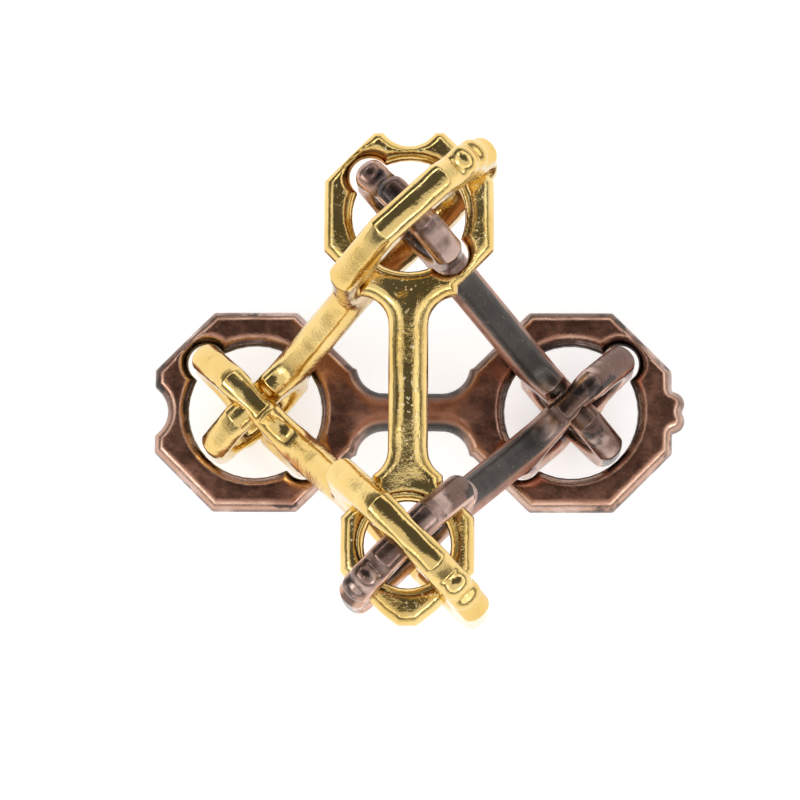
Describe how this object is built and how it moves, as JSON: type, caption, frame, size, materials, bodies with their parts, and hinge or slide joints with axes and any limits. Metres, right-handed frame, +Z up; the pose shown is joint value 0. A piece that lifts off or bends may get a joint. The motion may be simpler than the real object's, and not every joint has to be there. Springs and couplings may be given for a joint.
{
  "type": "metal ring disentanglement puzzle",
  "caption": "Disentanglement puzzle of straight bars with octagonal rings at both ends, hooked into a tetrahedron so that rings of different sizes nest square to each other at each corner.",
  "frame": {"origin": "middle of the bounding box, on the surface that the puzzle stands on", "axes": "+Z up from the surface through the upper two corners; the lower two corners lie on the diagonal from -X+Y to +X-Y, the upper two on the diagonal from -X-Y to +X+Y"},
  "size_m": [0.067, 0.067, 0.064],
  "materials": {
    "gold": "bright gold plating on die-cast zinc, lightly pitted",
    "bronze": "antique copper plating on die-cast zinc, darkened, rubbed bright on the edges"
  },
  "bodies": {
    "bronze_large_large": {"bronze_large_large": "bronze"},
    "bronze_medium_medium": {"bronze_medium_medium": "bronze"},
    "bronze_small_small": {"bronze_small_small": "bronze"},
    "gold_large_medium": {"gold_large_medium": "gold"},
    "gold_large_small": {"gold_large_small": "gold"},
    "gold_medium_small": {"gold_medium_small": "gold"}
  },
  "joints": [
    {"name": "large_pair_rock", "type": "hinge", "parent": "bronze_medium_medium", "child": "bronze_large_large", "pos_m": [-0.00001, 0, 0.01285], "axis": [0.7071, -0.7071, 0], "range_deg": [-6, 6]},
    {"name": "small_pair_roll", "type": "hinge", "parent": "bronze_medium_medium", "child": "bronze_small_small", "pos_m": [0.0176, 0, 0.03046], "axis": [0, -0.7071, -0.7071], "range_deg": [-2, 2]},
    {"name": "gold_large_medium_roll", "type": "hinge", "parent": "bronze_medium_medium", "child": "gold_large_medium", "pos_m": [-0.01742, 0, 0.03046], "axis": [0, 0.7071, -0.7071], "range_deg": [-1, 1]},
    {"name": "gold_large_small_roll", "type": "hinge", "parent": "bronze_medium_medium", "child": "gold_large_small", "pos_m": [-0.00001, 0.01701, 0.03046], "axis": [-0.7064, 0.0227, -0.7075], "range_deg": [-2, 1]},
    {"name": "gold_medium_small_slide", "type": "slide", "parent": "bronze_medium_medium", "child": "gold_medium_small", "axis": [-0.7071, -0.7071, 0], "range_m": [-0.0004, 0.0004]}
  ]
}
